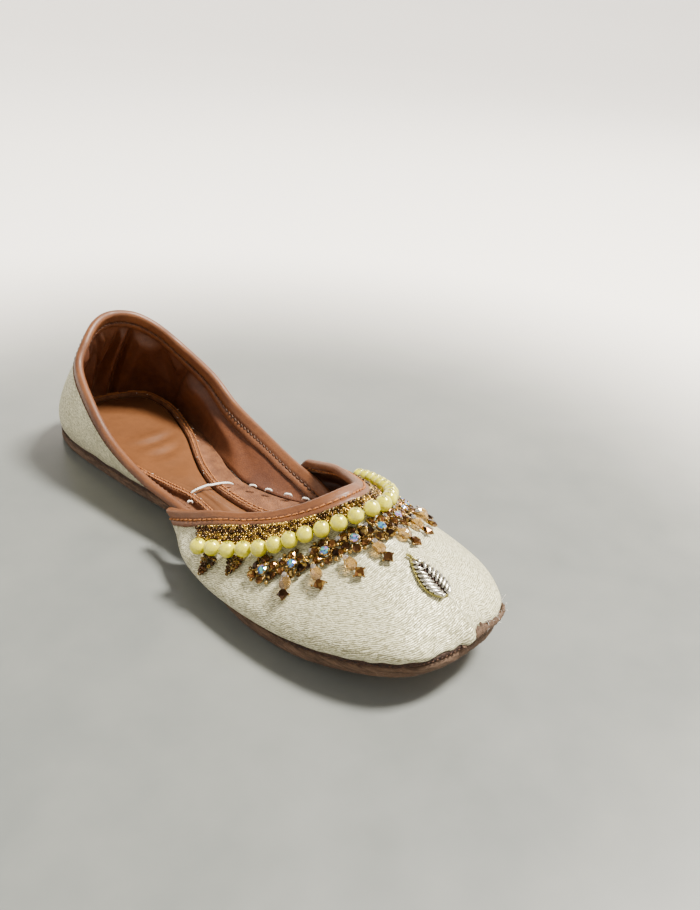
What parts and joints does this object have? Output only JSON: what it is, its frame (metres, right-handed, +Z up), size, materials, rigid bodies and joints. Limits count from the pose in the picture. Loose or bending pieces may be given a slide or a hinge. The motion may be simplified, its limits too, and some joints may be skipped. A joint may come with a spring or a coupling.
{
  "type": "mojari shoe",
  "caption": "Flat closed-heel slipper with a turned-up squared toe, fabric upper, leather bindings, beaded throat and a wire leaf on the toe.",
  "frame": {"origin": "on the floor under the middle of the shoe's bounding box", "axes": "+Y towards the heel, -Y towards the toe, +Z up, -X the outer side of this right shoe"},
  "size_m": [0.0912, 0.246, 0.0623],
  "materials": {
    "outsole": "waxed edge, worn",
    "midsole": "dark, matte",
    "insole": "smooth, semi-gloss",
    "strip": "stitched, rough",
    "upper": "ivory crepe with metallic thread",
    "binding": "smooth, semi-gloss",
    "beads": "antique gold seed beads",
    "pearls": "pearl coating",
    "crystal": "dark crystals in antique gold",
    "drop": "faceted, clear champagne",
    "leaf": "coiled silver wire"
  },
  "bodies": {
    "root": {"bead_band": "beads", "cluster_1": "crystal", "cluster_2": "crystal", "cluster_3": "crystal", "cluster_4": "crystal", "collar_binding": "binding", "drop_1": "drop", "drop_2": "drop", "drop_3": "drop", "drop_4": "drop", "drop_5": "drop", "drop_6": "drop", "drop_7": "drop", "drop_8": "drop", "flower_1": "crystal", "flower_2": "crystal", "flower_3": "crystal", "flower_4": "crystal", "flower_5": "crystal", "flower_6": "crystal", "flower_7": "crystal", "flower_8": "crystal", "flower_9": "crystal", "insole": "insole", "insole_strip": "strip", "midsole": "midsole", "outsole": "outsole", "pearl_string": "pearls", "throat_binding": "binding", "toe_leaf": "leaf", "toe_lip": "outsole", "upper": "upper"}
  },
  "joints": []
}
